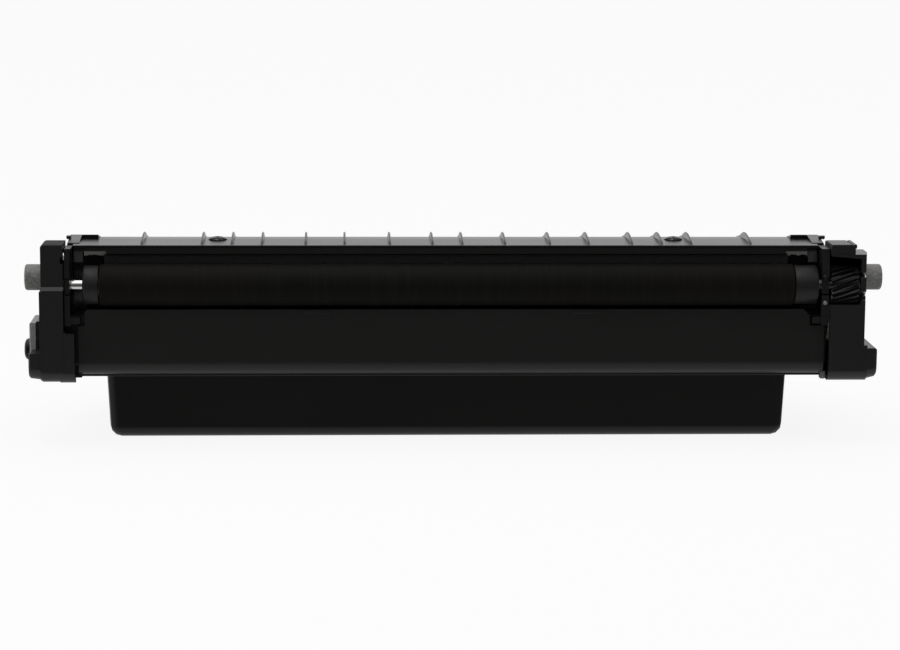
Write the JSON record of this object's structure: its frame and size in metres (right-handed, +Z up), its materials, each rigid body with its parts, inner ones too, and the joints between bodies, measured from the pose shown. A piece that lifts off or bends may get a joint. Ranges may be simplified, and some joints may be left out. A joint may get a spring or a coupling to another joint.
{
  "type": "toner cartridge",
  "caption": "Black toner cartridge for A4 sheets: exposed developer roller, lid with paper guide ribs, front panel, toner hopper below, end covers with locating pins and a gear train.",
  "frame": {"origin": "on the hopper's flat base, under the middle of the sheet width that the guide ribs mark", "axes": "+X along the developer roller to the gear side, +Y from the exposed roller to the rear, +Z up"},
  "size_m": [0.2905, 0.094, 0.0702],
  "materials": {
    "frame_plastic": "fine-textured black moulded plastic",
    "lid_plastic": "glossy black moulded plastic",
    "panel_plastic": "satin black moulded plastic",
    "cover_plastic": "satin black moulded plastic",
    "roller_rubber": "toned dark rubber",
    "collar_plastic": "dark grey plastic",
    "shaft_steel": "ground steel",
    "gear_plastic": "black engineering plastic",
    "inner_gear_plastic": "natural engineering plastic",
    "supply_foam": "open-cell foam",
    "bracket_steel": "zinc-plated sheet",
    "blade_steel": "spring sheet",
    "seal_felt": "dark felt and foam",
    "seal_film": "polyester film",
    "agitator_plastic": "natural plastic",
    "agitator_film": "polyester film",
    "pin_grey": "grey glass-filled plastic",
    "contact_plate": "conductive grey plastic",
    "screw_black": "black screw",
    "screw_steel": "plated screw",
    "plug_plastic": "black plastic"
  },
  "bodies": {
    "housing": {"main_frame": "frame_plastic", "top_cover": "lid_plastic", "front_panel": "panel_plastic", "left_cover": "cover_plastic", "right_cover": "cover_plastic", "bearing_left": "frame_plastic", "bearing_right": "frame_plastic", "bushing_right": "shaft_steel", "locating_pin_left": "pin_grey", "locating_pin_right": "pin_grey", "contact_plate": "contact_plate", "contact_screw": "screw_black", "lid_screw_left": "screw_black", "lid_screw_right": "screw_black", "left_cover_screw": "screw_black", "right_cover_screw_upper": "screw_black", "right_cover_screw_rear": "screw_black", "blade_bracket": "bracket_steel", "doctor_blade": "blade_steel", "blade_foam": "seal_felt", "blade_screw_left": "screw_steel", "blade_screw_right": "screw_steel", "end_seal_left": "seal_felt", "end_seal_right": "seal_felt", "lower_film_seal": "seal_film", "fill_plug": "plug_plastic"},
    "developer_roller": {"developer_roller": "roller_rubber", "developer_shaft": "shaft_steel", "roller_collar_left": "collar_plastic", "roller_collar_right": "collar_plastic", "developer_gear": "gear_plastic"},
    "supply_roller": {"supply_roller": "supply_foam", "supply_shaft": "shaft_steel", "supply_gear": "inner_gear_plastic"},
    "idler": {"idler_gear": "inner_gear_plastic"},
    "reduction": {"reduction_gear": "inner_gear_plastic"},
    "agitator": {"agitator_shaft": "agitator_plastic", "agitator_film": "agitator_film", "agitator_gear": "inner_gear_plastic"}
  },
  "joints": [
    {"name": "developer_roller_turn", "type": "hinge", "parent": "housing", "child": "developer_roller", "pos_m": [0, -0.039, 0.0548], "axis": [1, 0, 0], "continuous": true},
    {"name": "supply_roller_turn", "type": "hinge", "parent": "housing", "child": "supply_roller", "pos_m": [0, -0.0261, 0.05158], "axis": [1, 0, 0], "continuous": true},
    {"name": "idler_turn", "type": "hinge", "parent": "housing", "child": "idler", "pos_m": [0, -0.0345, 0.04273], "axis": [1, 0, 0], "continuous": true},
    {"name": "reduction_turn", "type": "hinge", "parent": "housing", "child": "reduction", "pos_m": [0, -0.01577, 0.03682], "axis": [1, 0, 0], "continuous": true},
    {"name": "agitator_turn", "type": "hinge", "parent": "housing", "child": "agitator", "pos_m": [0, 0.00156, 0.03345], "axis": [1, 0, 0], "continuous": true}
  ],
  "couplings": [
    {"joint": "idler_turn", "follows": "developer_roller_turn", "ratio": -0.9},
    {"joint": "supply_roller_turn", "follows": "developer_roller_turn", "ratio": 1.125},
    {"joint": "reduction_turn", "follows": "developer_roller_turn", "ratio": 0.47368},
    {"joint": "agitator_turn", "follows": "developer_roller_turn", "ratio": -0.22105}
  ]
}
